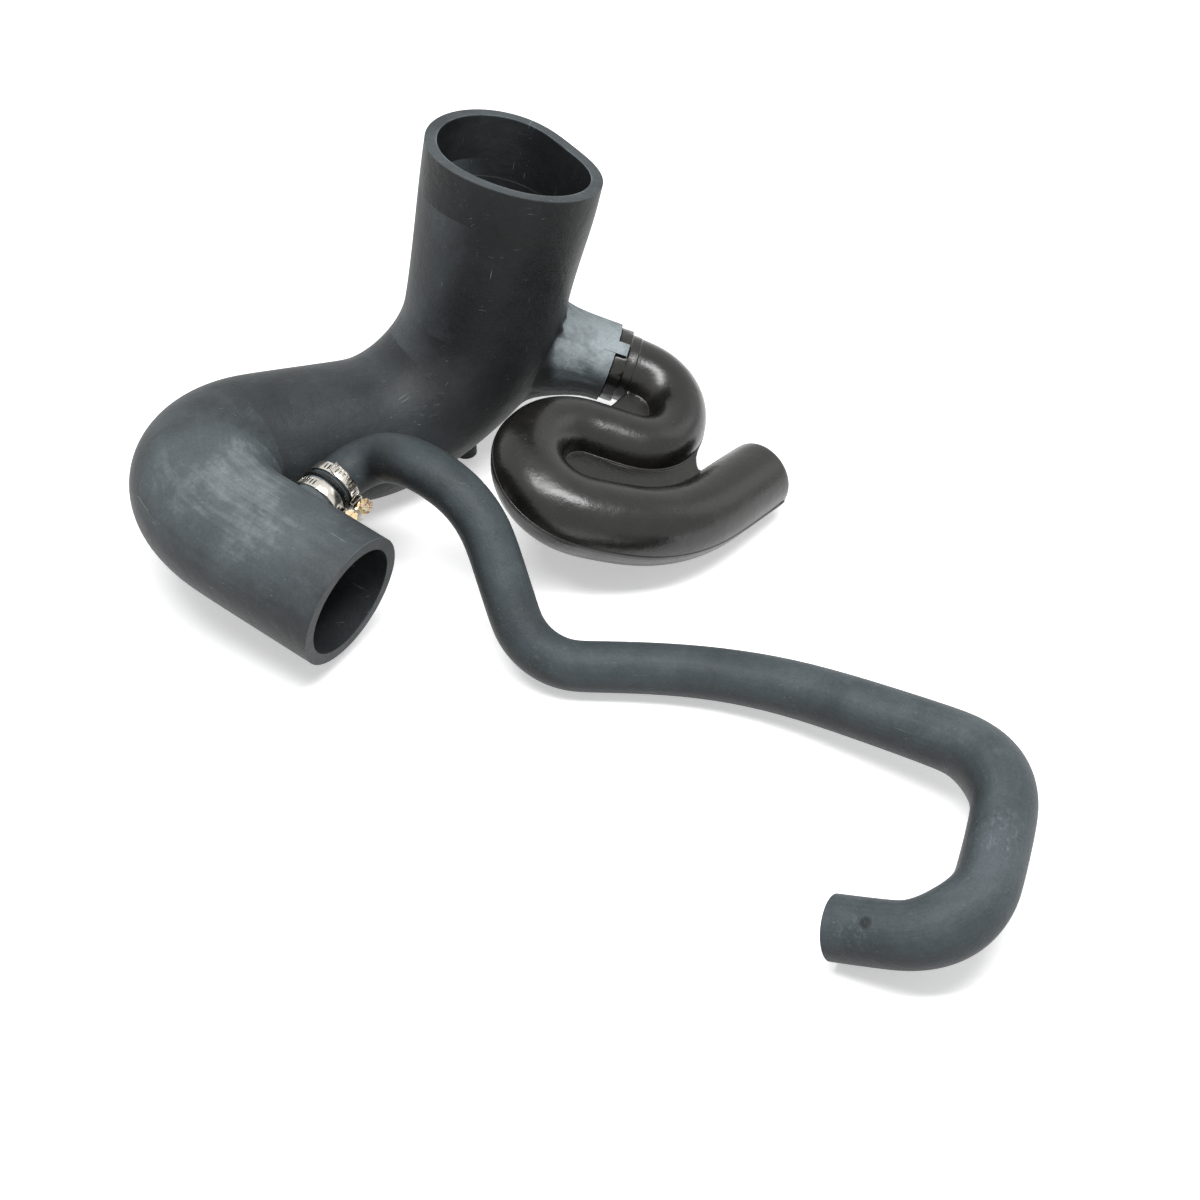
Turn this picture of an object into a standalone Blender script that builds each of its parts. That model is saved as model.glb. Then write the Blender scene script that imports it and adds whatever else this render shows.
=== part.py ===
"""Engine intake hose: a moulded rubber duct with a serpentine resonator pipe in its
side stub and a small breather hose clamped to its side spigot. Metres, +Z up. The
assembly lies on the plane z = 0, as it rests on a bench."""

from math import acos, atan2, ceil, cos, pi, radians, sin, sqrt, tan

import bmesh
import bpy
from mathutils import Matrix, Vector

# Clearance between pieces that touch or nearly touch
CLEARANCE = 0.0003

# How far a bore's cutter runs out past the face that it opens
OVERSHOOT = 0.005

# Rubber duct, from its outlet mouth through the elbow and the body to the top mouth
DUCT_WALL = 0.0075
OUTLET_MOUTH = Vector((-0.1456, -0.0560, 0.0542))
OUTLET_HEADING = 147.0
OUTLET_CLIMB = 9.2
OUTLET_RADIUS = 0.0428
OUTLET_LENGTH = 0.0810
ELBOW_RADIUS = 0.0463
ELBOW_TURN = 118.1
ELBOW_INNER_RADIUS = 0.0055
ELBOW_BULGE = 0.0024
ELBOW_ROLL = 10.1
BODY_LENGTH = 0.0642
BODY_RADIUS = 0.0459
HEEL_INNER_RADIUS = 0.0334
HEEL_BULGE = -0.0038
NECK_LENGTH = 0.1084
NECK_RADIUS = 0.0510
NECK_DIRECTION = Vector((0.188, 0.141, 1.0)).normalized()
NECK_STEPS = 3

# Egg-shaped top mouth: a mean radius with an oval and a pointed part
MOUTH_RADIUS = 0.055
MOUTH_OVAL = 0.0066
MOUTH_OVAL_ANGLE = -50.0
MOUTH_POINT = 0.0023
MOUTH_POINT_ANGLE = -29.0
SOCKET_DEPTH = 0.040
SOCKET_STEP = 0.0015

# Side stub that takes the resonator, with the key tab on its end. Its root lies inside
# the neck, measured from the middle of the neck's lower end.
STUB_ROOT = Vector((0.00694, 0.00747, -0.01675))
STUB_DIRECTION = Vector((0.943, -0.15, -0.300)).normalized()
STUB_RADIUS = 0.0260
STUB_WALL = 0.0038
STUB_LENGTH = 0.077
KEY_WIDTH = 0.0085
KEY_LENGTH = 0.0075
KEY_HEIGHT = 0.0036
KEY_ANGLE = 26.0

# The stub flares into the neck, from one distance behind its end to another
FLARE_NEAR = 0.012
FLARE_FAR = 0.050
FLARE_RADIUS = 0.0325
FLARE_SHIFT = Vector((0, -0.006, -0.006))

# Lug under the heel, its foot measured from the middle of the body's end
LUG_FOOT = Vector((0.07015, 0.03138, -0.04423))
LUG_RADIUS = 0.0075
LUG_LENGTH = 0.016
LUG_SIDES = 16

# Joint between the duct's spigot and the breather hose, measured from the middle of
# the body's start
JOINT_PLACE = Vector((0.04712, -0.05065, 0.00673))
JOINT_AXIS = Vector((0.55, 0.829, 0.09)).normalized()
SCREW_DIRECTION = Vector((0.375, -0.426, 0.827))
JOINER_RADIUS = 0.0116
JOINER_WALL = 0.0020
JOINER_REACH = 0.0125
COLLAR_RADIUS = 0.0170
COLLAR_WIDTH = 0.0038
COLLAR_EDGE = 0.0010
SPIGOT_REACH = 0.040

# Breather hose: where it starts to widen, and over what length
HOSE_RADIUS = 0.0156
HOSE_END_RADIUS = 0.0184
HOSE_WALL = 0.0034
HOSE_FLARE_START = 0.2857
HOSE_FLARE_LENGTH = 0.1700

# Its centre line runs straight out of the joint, then turns at each of these corners,
# measured from the joint's middle. Swell is how much the section widens in a bend.
LANDING_LENGTH = 0.0392
LANDING_BEND = 0.0239
ARCH_CORNER = Vector((0.0541, 0.0027, 0.0231))
ARCH_BEND = 0.036
FALL_CORNER = Vector((0.0940, -0.0226, 0.0145))
FALL_BEND = 0.078
FLOOR_CORNER = Vector((0.1247, -0.0950, -0.0518))
FLOOR_BEND = 0.043
RUN_CORNER = Vector((0.2491, -0.0964, -0.0517))
RUN_BEND = 0.213
FAR_CORNER = Vector((0.3960, -0.1917, -0.0259))
FAR_BEND = 0.057
FAR_SWELL = 0.0018
HOOK_CORNER = Vector((0.3569, -0.3151, -0.0263))
HOOK_BEND = 0.041
HOOK_SWELL = 0.0021
HOSE_TIP = Vector((0.2897, -0.2852, -0.0510))

# Worm clamps
BAND_WIDTH = 0.0068
BAND_THICKNESS = 0.0008
BAND_OFFSET = 0.0073
DUCT_CLAMP_TURN = 8.0
BAND_START = -40.0
TAIL_START = 24.0
TAIL_END = 62.0
TAIL_RISE = 0.0022
LAP_RUN = 12.0
SADDLE_ANGLE = 46.0
SADDLE_STEPS = 8
SADDLE_THICKNESS = 0.0007
HOUSING_LENGTH = 0.0120
HOUSING_THICKNESS = 0.0009
HOUSING_ARCH_STEPS = 10
WORM_RADIUS = 0.0032
WORM_SIDES = 24
SCREW_COLLAR_RADIUS = 0.0046
SCREW_COLLAR_THICKNESS = 0.0013
SCREW_HEX_RADIUS = 0.0043
SCREW_HEX_HEIGHT = 0.0042
SCREW_SLOT_WIDTH = 0.0011
SCREW_SLOT_DEPTH = 0.0018

# Serpentine resonator pipe
PIPE_WALL = 0.0020
NECK_PIPE_LENGTH = 0.022
FLANGE_RADIUS = 0.0240
FLANGE_THICKNESS = 0.0085
RUN_ONE_RADIUS = 0.0217
RUN_TWO_RADIUS = 0.0199
RUN_THREE_RADIUS = 0.0250
RUN_END_RADIUS = 0.0237
PIPE_PLANE_NORMAL = Vector((0.360, -0.127, 1.0)).normalized()
RUN_ONE_LENGTH = 0.0133
FIRST_BEND_RADIUS = 0.0334
FIRST_BEND_TURN = 176.5
FIRST_BEND_BULGE = -0.0016
RUN_TWO_LENGTH = 0.0244
SECOND_BEND_RADIUS = 0.0332
SECOND_BEND_TURN = 189.6
SECOND_BEND_BULGE = 0.0006
RUN_THREE_LENGTH = 0.0217
LAST_BEND_RADIUS = 0.0927
LAST_BEND_TURN = 45.9
RUN_END_LENGTH = 0.0463
END_EDGE_RADIUS = 0.005
WEB_THICKNESS = 0.0026
SECOND_WEB_THICKNESS = 0.0022

# The second web reaches this share back along the first bend and on along the last
WEB_BACK_SHARE = 0.5
WEB_ON_SHARE = 1.0
RIB_THICKNESS = 0.0030
RIB_REACH = 0.0012

# Facets round a section and along a bend, and the turn past which an edge is sharp
SHARP_TURN = 38.0
DUCT_SIDES = 40
DUCT_BORE_SIDES = 32
PIPE_SIDES = 26
PIPE_BORE_SIDES = 18
HOSE_SIDES = 20
ROUND_SIDES = 32
BAND_STEPS = 66
BEND_STEP = 11.0
PIPE_STEP = 13.0
HOSE_STEP = 13.0


def clear_scene():
    for obj in list(bpy.data.objects):
        bpy.data.objects.remove(obj, do_unlink=True)


def surface(name, colour, roughness, metallic=0.0):
    made = bpy.data.materials.new(name)
    made.use_nodes = True
    shader = made.node_tree.nodes["Principled BSDF"]
    shader.inputs["Base Color"].default_value = (*colour, 1.0)
    shader.inputs["Roughness"].default_value = roughness
    shader.inputs["Metallic"].default_value = metallic
    return made


def link(name, bm, finish, place=None):
    """Turn a bmesh into a named object with its own material."""
    bmesh.ops.recalc_face_normals(bm, faces=bm.faces)
    mesh = bpy.data.meshes.new(name)
    bm.to_mesh(mesh)
    bm.free()
    mesh.shade_smooth()
    mesh.set_sharp_from_angle(angle=radians(SHARP_TURN))
    obj = bpy.data.objects.new(name, mesh)
    bpy.context.scene.collection.objects.link(obj)
    if finish:
        mesh.materials.append(finish)
    if place:
        obj.matrix_world = place
    return obj


def combine(target, tool, operation):
    """Boolean the tool into the target and hide the tool."""
    change = target.modifiers.new(f"{operation.lower()} {tool.name}", "BOOLEAN")
    change.object = tool
    change.operation = operation
    change.solver = "EXACT"
    tool.hide_render = True
    tool.display_type = "WIRE"


def any_normal(direction):
    spare = Vector((0, 0, 1)) if abs(direction.z) < 0.9 else Vector((1, 0, 0))
    return direction.cross(spare).normalized()


def axis_frame(origin, axis, across):
    """Matrix whose Z runs along the axis and whose Y lies near the across direction."""
    z = axis.normalized()
    y = (across - z * across.dot(z)).normalized()
    x = y.cross(z)
    turn = Matrix((x, y, z)).transposed().to_4x4()
    return Matrix.Translation(origin) @ turn


class Station:
    """One section of a tube: its centre, its direction, a carried-along side vector, and
    half widths toward the inside of the bend and across it."""

    def __init__(self, centre, forward, side, inward, half_in, half_across, egg=0.0):
        self.centre = centre
        self.forward = forward
        self.side = side
        self.inward = inward
        self.half_in = half_in
        self.half_across = half_across
        self.egg = egg

    def reach(self, direction, wall):
        """Radius of the section in one direction, less the wall."""
        a = direction.dot(self.inward) / (self.half_in - wall)
        across = self.forward.cross(self.inward)
        b = direction.dot(across) / (self.half_across - wall)
        plain = 1.0 / sqrt(a * a + b * b)
        if not self.egg:
            return plain
        east = Vector((1, 0, 0))
        east = (east - self.forward * east.dot(self.forward)).normalized()
        north = self.forward.cross(east)
        angle = atan2(direction.dot(north), direction.dot(east))
        mouth = MOUTH_RADIUS - wall
        mouth += MOUTH_OVAL * cos(2 * (angle - radians(MOUTH_OVAL_ANGLE)))
        mouth += MOUTH_POINT * cos(3 * (angle - radians(MOUTH_POINT_ANGLE)))
        return plain + (mouth - plain) * self.egg

    def ring(self, sides, wall):
        lift = self.forward.cross(self.side)
        points = []
        for k in range(sides):
            angle = 2 * pi * k / sides
            direction = self.side * cos(angle) + lift * sin(angle)
            points.append(self.centre + direction * self.reach(direction, wall))
        return points


def smooth_step(t):
    return t * t * (3 - 2 * t)


def run_straight(stations, length, steps, end_half):
    """Carry a tube straight on, easing its half widths to a new value."""
    last = stations[-1]
    for k in range(1, steps + 1):
        t = k / steps
        ease = smooth_step(t)
        stations.append(
            Station(
                last.centre + last.forward * length * t,
                last.forward,
                last.side,
                last.inward,
                last.half_in + (end_half - last.half_in) * ease,
                last.half_across + (end_half - last.half_across) * ease,
            )
        )


def run_bend(stations, axis, degrees, inner_radius, bulge, end_half, step=BEND_STEP):
    """Carry a tube round a bend whose inner wall has the given radius. The bulge widens
    the section in the middle of the bend, as a tight moulded elbow does."""
    last = stations[-1]
    axis = (axis - last.forward * axis.dot(last.forward)).normalized()
    inward = axis.cross(last.forward)
    pivot = last.centre + inward * (inner_radius + last.half_in)
    steps = ceil(degrees / step)
    for k in range(1, steps + 1):
        t = k / steps
        turn = Matrix.Rotation(radians(degrees) * t, 3, axis)
        toward = turn @ inward
        half = last.half_across + (end_half - last.half_across) * smooth_step(t)
        half_in = half + bulge * sin(pi * t) ** 2
        stations.append(
            Station(
                pivot - toward * (inner_radius + half_in),
                turn @ last.forward,
                turn @ last.side,
                toward,
                half_in,
                half,
            )
        )


def loft(bm, rings, close_ends):
    """Skin a list of rings of points. Returns the rings as vertices."""
    made = [[bm.verts.new(p) for p in ring] for ring in rings]
    sides = len(made[0])
    for low, high in zip(made[:-1], made[1:]):
        for k in range(sides):
            nxt = (k + 1) % sides
            bm.faces.new((low[k], low[nxt], high[nxt], high[k]))
    if close_ends:
        bm.faces.new(made[0])
        bm.faces.new(made[-1])
    return made


def close_rim(bm, outer, inner):
    """Flat annular face between an outer and an inner ring."""
    for k in range(len(outer)):
        nxt = (k + 1) % len(outer)
        bm.faces.new((outer[k], outer[nxt], inner[nxt], inner[k]))


def duct_path():
    """Sections of the duct from its outlet mouth to its top mouth, and three of them by
    themselves: where the body starts, where it ends and where the neck starts."""
    heading = radians(OUTLET_HEADING)
    climb = radians(OUTLET_CLIMB)
    forward = Vector((cos(heading) * cos(climb), sin(heading) * cos(climb), sin(climb)))
    side = forward.cross(Vector((0, 0, 1))).normalized()
    first = Station(OUTLET_MOUTH, forward, side, side, OUTLET_RADIUS, OUTLET_RADIUS)
    stations = [first]
    run_straight(stations, OUTLET_LENGTH, 3, OUTLET_RADIUS)
    roll = radians(ELBOW_ROLL)
    lift = side.cross(forward)
    axis = -(lift * cos(roll) + side * sin(roll))
    run_bend(stations, axis, ELBOW_TURN, ELBOW_INNER_RADIUS, ELBOW_BULGE, ELBOW_RADIUS)
    body_start = stations[-1]
    run_straight(stations, BODY_LENGTH, 2, BODY_RADIUS)
    body_end = stations[-1]
    onward = body_end.forward
    axis = onward.cross(NECK_DIRECTION).normalized()
    turn = acos(max(-1, min(1, onward.dot(NECK_DIRECTION)))) * 180 / pi
    # the carried side vector stays; only the inward direction changes at a new bend
    body_end.inward = axis.cross(onward)
    run_bend(stations, axis, turn, HEEL_INNER_RADIUS, HEEL_BULGE, NECK_RADIUS)
    neck_start = stations[-1]
    base = len(stations)
    run_straight(stations, NECK_LENGTH - SOCKET_DEPTH, NECK_STEPS, NECK_RADIUS)
    run_straight(stations, SOCKET_DEPTH, NECK_STEPS, NECK_RADIUS)
    for station in stations[base:]:
        gone = (station.centre - neck_start.centre).length / NECK_LENGTH
        station.egg = smooth_step(gone)
    return stations, body_start, body_end, neck_start


def joint_centre():
    """Middle of the clamped joint, in the open side of the elbow."""
    body_start = duct_path()[1]
    return body_start.centre + JOINT_PLACE


def stub_root():
    """Start of the stub, inside the foot of the neck."""
    neck_start = duct_path()[3]
    return neck_start.centre + STUB_ROOT


def stub_end():
    return stub_root() + STUB_DIRECTION * STUB_LENGTH


def tube_solid(name, axis, start, length, radius, sides=ROUND_SIDES):
    """Plain closed cylinder along an axis, for a union or a cut."""
    side = any_normal(axis)
    ends = [
        Station(start, axis, side, side, radius, radius),
        Station(start + axis * length, axis, side, side, radius, radius),
    ]
    bm = bmesh.new()
    loft(bm, [s.ring(sides, 0) for s in ends], True)
    return link(name, bm, None)


def block_solid(name, place, size):
    bm = bmesh.new()
    bmesh.ops.create_cube(bm, size=1.0)
    bmesh.ops.scale(bm, verts=bm.verts, vec=size)
    return link(name, bm, None, place)


def key_place():
    """Frame of the key tab on the stub's end: its Z along the stub, its Y outward."""
    outward = Matrix.Rotation(radians(KEY_ANGLE), 3, STUB_DIRECTION) @ Vector((0, 0, 1))
    outward = (outward - STUB_DIRECTION * outward.dot(STUB_DIRECTION)).normalized()
    centre = stub_end() + outward * (STUB_RADIUS - KEY_HEIGHT / 2)
    return axis_frame(centre, STUB_DIRECTION, outward)


def make_flare():
    """Cone that leads the stub into the neck."""
    axis = STUB_DIRECTION
    side = any_normal(axis)
    slim_radius = STUB_RADIUS - CLEARANCE
    far = stub_end() - axis * FLARE_FAR + FLARE_SHIFT
    near = stub_end() - axis * FLARE_NEAR
    wide = Station(far, axis, side, side, FLARE_RADIUS, FLARE_RADIUS)
    slim = Station(near, axis, side, side, slim_radius, slim_radius)
    bm = bmesh.new()
    loft(bm, [s.ring(ROUND_SIDES, 0) for s in (wide, slim)], True)
    return link("stub_flare", bm, None)


def make_duct(finish):
    stations, _, body_end, _ = duct_path()
    outer = bmesh.new()
    loft(outer, [s.ring(DUCT_SIDES, 0) for s in stations], True)
    duct = link("intake_duct", outer, finish)

    # bore, run out past both mouths so that it opens them
    first, last = stations[0], stations[-1]
    step = stations[-1 - NECK_STEPS]
    below = DUCT_WALL + SOCKET_STEP
    rings = [s.ring(DUCT_BORE_SIDES, DUCT_WALL) for s in stations[: -2 * NECK_STEPS : 2]]
    rings.append(step.ring(DUCT_BORE_SIDES, below))
    rings.append(step.ring(DUCT_BORE_SIDES, DUCT_WALL))
    rings += [s.ring(DUCT_BORE_SIDES, DUCT_WALL) for s in stations[-NECK_STEPS:]]
    rings[0] = [p - first.forward * OVERSHOOT for p in rings[0]]
    rings[-1] = [p + last.forward * OVERSHOOT for p in rings[-1]]
    inner = bmesh.new()
    loft(inner, rings, True)
    bore = link("duct_bore", inner, None)

    stub_axis = STUB_DIRECTION
    root = stub_root()
    stub = tube_solid("stub_outside", stub_axis, root, STUB_LENGTH, STUB_RADIUS)
    tab_size = Vector((KEY_WIDTH, KEY_HEIGHT, 2 * KEY_LENGTH))
    tab = block_solid("key_tab", key_place(), tab_size)

    spigot_end = joint_centre() - JOINT_AXIS * COLLAR_WIDTH / 2
    spigot_root = spigot_end - JOINT_AXIS * SPIGOT_REACH
    spigot = tube_solid("spigot", JOINT_AXIS, spigot_root, SPIGOT_REACH, HOSE_RADIUS)
    lug_foot = body_end.centre + LUG_FOOT
    up = Vector((0, 0, 1))
    lug = tube_solid("lug", up, lug_foot, LUG_LENGTH, LUG_RADIUS, LUG_SIDES)

    combine(duct, make_flare(), "UNION")
    combine(duct, stub, "UNION")
    combine(duct, tab, "UNION")
    combine(duct, spigot, "UNION")
    combine(duct, lug, "UNION")
    combine(duct, bore, "DIFFERENCE")
    stub_bore = STUB_RADIUS - STUB_WALL
    reach = STUB_LENGTH + OVERSHOOT
    cut = tube_solid("stub_bore", stub_axis, root, reach, stub_bore)
    combine(duct, cut, "DIFFERENCE")
    reach = SPIGOT_REACH + OVERSHOOT
    spigot_bore = JOINER_RADIUS + CLEARANCE
    cut = tube_solid("spigot_bore", JOINT_AXIS, spigot_root, reach, spigot_bore)
    combine(duct, cut, "DIFFERENCE")
    return duct


def rounded_path(corners, step):
    """Centre line of straight runs and arcs through corners of (point, radius, swell).
    Returns pairs of a point and the swell of the section there."""
    points = [corner[0] for corner in corners]
    path = [(points[0], 0)]
    for k in range(1, len(points) - 1):
        corner, radius, swell = corners[k]
        back = (points[k - 1] - corner).normalized()
        on = (points[k + 1] - corner).normalized()
        angle = back.angle(on)
        cut = radius / tan(angle / 2)
        centre = corner + (back + on).normalized() * radius / sin(angle / 2)
        start = corner + back * cut - centre
        axis = back.cross(on).normalized()
        sweep = pi - angle
        steps = max(2, ceil(sweep / radians(step)))
        for j in range(steps + 1):
            turn = Matrix.Rotation(-sweep * j / steps, 3, axis)
            path.append((centre + turn @ start, swell * sin(pi * j / steps) ** 2))
    path.append((points[-1], 0))
    return path


def hose_radius(length):
    """The hose widens part of the way along."""
    t = max(0.0, min(1.0, (length - HOSE_FLARE_START) / HOSE_FLARE_LENGTH))
    return HOSE_RADIUS + (HOSE_END_RADIUS - HOSE_RADIUS) * smooth_step(t)


def hose_stations():
    """Sections of the breather hose, with a side vector carried along without twist."""
    centre = joint_centre()
    corners = (
        (centre + JOINT_AXIS * COLLAR_WIDTH / 2, 0, 0),
        (centre + JOINT_AXIS * LANDING_LENGTH, LANDING_BEND, 0),
        (centre + ARCH_CORNER, ARCH_BEND, 0),
        (centre + FALL_CORNER, FALL_BEND, 0),
        (centre + FLOOR_CORNER, FLOOR_BEND, 0),
        (centre + RUN_CORNER, RUN_BEND, 0),
        (centre + FAR_CORNER, FAR_BEND, FAR_SWELL),
        (centre + HOOK_CORNER, HOOK_BEND, HOOK_SWELL),
        (centre + HOSE_TIP, 0, 0),
    )
    path = rounded_path(corners, HOSE_STEP)
    lengths = [0.0]
    for before, after in zip(path[:-1], path[1:]):
        lengths.append(lengths[-1] + (after[0] - before[0]).length)
    stations = []
    side = any_normal(JOINT_AXIS)
    for k, (centre, swell) in enumerate(path):
        before = path[max(k - 1, 0)][0]
        after = path[min(k + 1, len(path) - 1)][0]
        forward = (after - before).normalized()
        side = (side - forward * side.dot(forward)).normalized()
        radius = hose_radius(lengths[k]) + swell
        stations.append(Station(centre, forward, side, side, radius, radius))
    return stations


def make_hose(finish):
    stations = hose_stations()
    bm = bmesh.new()
    outer = loft(bm, [s.ring(HOSE_SIDES, 0) for s in stations], False)
    bore = loft(bm, [s.ring(HOSE_SIDES, HOSE_WALL) for s in stations], False)
    close_rim(bm, outer[0], bore[0])
    close_rim(bm, outer[-1], bore[-1])
    return link("breather_hose", bm, finish)


def turned(name, profile, place, finish, sides=ROUND_SIDES):
    """Spin a closed profile of (radius, height) points about the local Z axis."""
    bm = bmesh.new()
    rings = []
    for k in range(sides):
        angle = 2 * pi * k / sides
        spoke = [Vector((r * cos(angle), r * sin(angle), z)) for r, z in profile]
        rings.append([bm.verts.new(p) for p in spoke])
    count = len(profile)
    for k in range(sides):
        this, after = rings[k], rings[(k + 1) % sides]
        for j in range(count):
            nxt = (j + 1) % count
            bm.faces.new((this[j], after[j], after[nxt], this[nxt]))
    return link(name, bm, finish, place)


def make_joiner(finish):
    bore = JOINER_RADIUS - JOINER_WALL
    half = COLLAR_WIDTH / 2 - CLEARANCE
    profile = (
        (bore, -JOINER_REACH),
        (JOINER_RADIUS, -JOINER_REACH),
        (JOINER_RADIUS, -half),
        (COLLAR_RADIUS - COLLAR_EDGE, -half),
        (COLLAR_RADIUS, -half + COLLAR_EDGE),
        (COLLAR_RADIUS, half - COLLAR_EDGE),
        (COLLAR_RADIUS - COLLAR_EDGE, half),
        (JOINER_RADIUS, half),
        (JOINER_RADIUS, JOINER_REACH),
        (bore, JOINER_REACH),
    )
    place = axis_frame(joint_centre(), JOINT_AXIS, SCREW_DIRECTION)
    return turned("hose_joiner", profile, place, finish)


def band_inside():
    return HOSE_RADIUS + CLEARANCE


def saddle_inside():
    return band_inside() + 2 * (BAND_THICKNESS + CLEARANCE)


def screw_offset():
    """Distance from the hose's axis to the worm's axis."""
    return saddle_inside() + SADDLE_THICKNESS + 2 * CLEARANCE + WORM_RADIUS


def make_band(name, place, finish):
    """One strip: a full turn from under the housing, then the tail over the first
    layer, standing off past the housing. Local +X points to the housing."""
    bm = bmesh.new()
    rings = []
    rise = BAND_THICKNESS + CLEARANCE
    around = 360.0 + TAIL_END - BAND_START
    for k in range(BAND_STEPS + 1):
        angle = BAND_START + around * k / BAND_STEPS
        lap_start = 360.0 + BAND_START - 2 * LAP_RUN
        lap = max(0.0, min(1.0, (angle - lap_start) / LAP_RUN))
        lift = max(0.0, (angle - 360.0 - TAIL_START) / (TAIL_END - TAIL_START))
        radius = band_inside() + rise * smooth_step(lap) + TAIL_RISE * lift**2
        t = radians(angle)
        out = Vector((cos(t), sin(t), 0))
        low, high = out * radius, out * (radius + BAND_THICKNESS)
        half = Vector((0, 0, BAND_WIDTH / 2))
        rings.append([low - half, high - half, high + half, low + half])
    loft(bm, rings, True)
    return link(name, bm, finish, place)


def make_saddle(name, place, finish):
    """Curved base plate over the band, with skirts down both edges of the band."""
    bm = bmesh.new()
    low = band_inside() + CLEARANCE
    mid = saddle_inside()
    top = mid + SADDLE_THICKNESS
    half = BAND_WIDTH / 2 + CLEARANCE
    wide = half + SADDLE_THICKNESS
    profile = (
        (low, -wide),
        (top, -wide),
        (top, wide),
        (low, wide),
        (low, half),
        (mid, half),
        (mid, -half),
        (low, -half),
    )
    rings = []
    for k in range(SADDLE_STEPS + 1):
        t = radians(SADDLE_ANGLE * (k / SADDLE_STEPS - 0.5))
        rings.append([Vector((r * cos(t), r * sin(t), z)) for r, z in profile])
    loft(bm, rings, True)
    return link(name, bm, finish, place)


def make_housing(name, place, finish):
    """Arched cover over the worm, open at both ends, its feet on the saddle."""
    bm = bmesh.new()
    inner = WORM_RADIUS + CLEARANCE
    outer = inner + HOUSING_THICKNESS
    rings = []
    foot = saddle_inside() + SADDLE_THICKNESS + CLEARANCE
    centre = screw_offset()
    arch = HOUSING_ARCH_STEPS
    for y in (-HOUSING_LENGTH / 2, HOUSING_LENGTH / 2):
        section = [Vector((foot, y, -outer))]
        for k in range(arch + 1):
            t = -pi / 2 + pi * k / arch
            section.append(Vector((centre + outer * cos(t), y, outer * sin(t))))
        section.append(Vector((foot, y, outer)))
        section.append(Vector((foot, y, inner)))
        for k in range(arch + 1):
            t = pi / 2 - pi * k / arch
            section.append(Vector((centre + inner * cos(t), y, inner * sin(t))))
        section.append(Vector((foot, y, -inner)))
        rings.append(section)
    loft(bm, rings, True)
    return link(name, bm, finish, place)


def make_screw(name, place, finish):
    """Worm, collar and slotted hex head along local +Y."""
    half = HOUSING_LENGTH / 2
    collar_start = half + CLEARANCE
    collar_end = collar_start + SCREW_COLLAR_THICKNESS
    rings = []
    stops = (
        (-half, WORM_RADIUS, False),
        (collar_start, WORM_RADIUS, False),
        (collar_start, SCREW_COLLAR_RADIUS, False),
        (collar_end, SCREW_COLLAR_RADIUS, False),
        (collar_end, SCREW_HEX_RADIUS, True),
        (collar_end + SCREW_HEX_HEIGHT, SCREW_HEX_RADIUS, True),
    )
    for y, radius, hexagonal in stops:
        ring = []
        for k in range(WORM_SIDES):
            t = 2 * pi * k / WORM_SIDES
            reach = radius
            if hexagonal:
                within = (t % (pi / 3)) - pi / 6
                reach = radius * cos(pi / 6) / cos(within)
            ring.append(Vector((screw_offset() + reach * cos(t), y, reach * sin(t))))
        rings.append(ring)
    bm = bmesh.new()
    loft(bm, rings, True)
    screw = link(name, bm, finish, place)
    size = Vector((SCREW_SLOT_WIDTH, 2 * SCREW_SLOT_DEPTH, 3 * SCREW_HEX_RADIUS))
    spot = Vector((screw_offset(), collar_end + SCREW_HEX_HEIGHT, 0))
    slot = block_solid(f"{name}_slot", place @ Matrix.Translation(spot), size)
    combine(screw, slot, "DIFFERENCE")
    return screw


def make_clamp(label, offset, turn, steel, plate, zinc):
    """A worm clamp on the joint, its housing in the open side of the elbow."""
    centre = joint_centre() + JOINT_AXIS * offset
    place = axis_frame(centre, -JOINT_AXIS, SCREW_DIRECTION)
    place = place @ Matrix.Rotation(radians(turn), 4, "Z")
    make_band(f"{label}_band", place, steel)
    make_saddle(f"{label}_saddle", place, plate)
    make_housing(f"{label}_housing", place, plate)
    make_screw(f"{label}_screw", place, zinc)


def resonator_stations():
    """Sections of the serpentine pipe from the flange to its closed end, and those that
    bound each of the two webs."""
    normal = PIPE_PLANE_NORMAL
    forward = (STUB_DIRECTION - normal * STUB_DIRECTION.dot(normal)).normalized()
    start = stub_end() + STUB_DIRECTION * (FLANGE_THICKNESS - CLEARANCE)
    side = forward.cross(normal).normalized()
    r1, r2, r3 = RUN_ONE_RADIUS, RUN_TWO_RADIUS, RUN_THREE_RADIUS
    stations = [Station(start, forward, side, side, r1, r1)]
    run_straight(stations, RUN_ONE_LENGTH, 1, r1)
    one = len(stations) - 1
    inner = FIRST_BEND_RADIUS - r1
    stations[-1].inward = side
    bulge = FIRST_BEND_BULGE
    run_bend(stations, -normal, FIRST_BEND_TURN, inner, bulge, r2, PIPE_STEP)
    bend = len(stations) - 1
    run_straight(stations, RUN_TWO_LENGTH, 2, r2)
    two = len(stations) - 1
    stations[-1].inward = -stations[-1].inward
    inner = SECOND_BEND_RADIUS - r2
    bulge = SECOND_BEND_BULGE
    run_bend(stations, normal, SECOND_BEND_TURN, inner, bulge, r3, PIPE_STEP)
    run_straight(stations, RUN_THREE_LENGTH, 2, r3)
    three = len(stations) - 1
    inner = LAST_BEND_RADIUS - r3
    run_bend(stations, normal, LAST_BEND_TURN, inner, 0, RUN_END_RADIUS)
    last = len(stations) - 1
    run_straight(stations, RUN_END_LENGTH, 1, RUN_END_RADIUS)
    first_web = stations[one : two + 1]
    back = bend - round(WEB_BACK_SHARE * (bend - one))
    on = three + round(WEB_ON_SHARE * (last - three))
    second_web = stations[back : on + 1]
    return stations, (first_web, second_web)


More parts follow.
